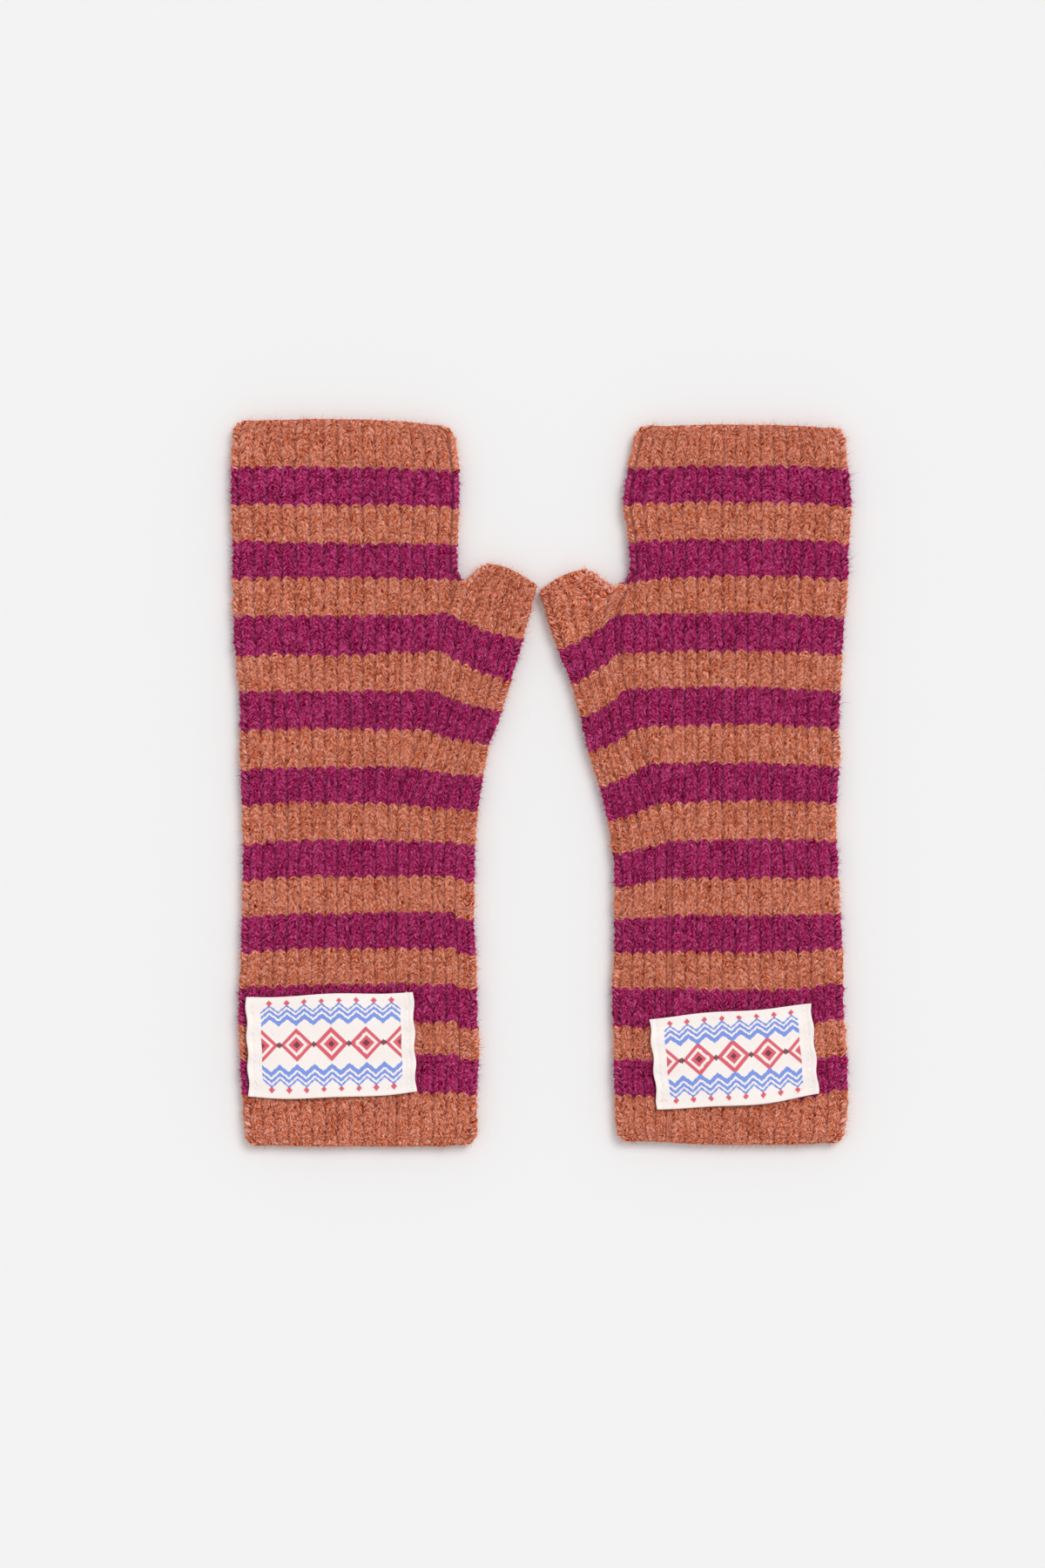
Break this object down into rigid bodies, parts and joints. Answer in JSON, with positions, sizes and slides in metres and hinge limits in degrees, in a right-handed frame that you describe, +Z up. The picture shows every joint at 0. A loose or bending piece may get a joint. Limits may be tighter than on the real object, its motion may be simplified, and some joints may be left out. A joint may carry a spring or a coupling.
{
  "type": "pair of fingerless ribbed knit mittens",
  "caption": "Pair of long fingerless mittens in striped rib knit, laid flat with the thumbs inwards and a woven label on each cuff.",
  "frame": {"origin": "middle of the pair's outline, on the surface that it lies on", "axes": "+Y from the cuffs to the finger ends, +X from the left mitten to the right one as seen from above, +Z up"},
  "size_m": [0.2289, 0.2672, 0.0082],
  "materials": {
    "ribbed_wool": "matt two-ply wool in one-by-one rib, stripes of rust orange and magenta",
    "woven_label": "smooth cream woven satin with a small coloured ornament"
  },
  "bodies": {
    "root": {"left_body": "ribbed_wool", "left_thumb": "ribbed_wool", "left_label": "woven_label", "right_body": "ribbed_wool", "right_thumb": "ribbed_wool", "right_label": "woven_label"}
  },
  "joints": []
}
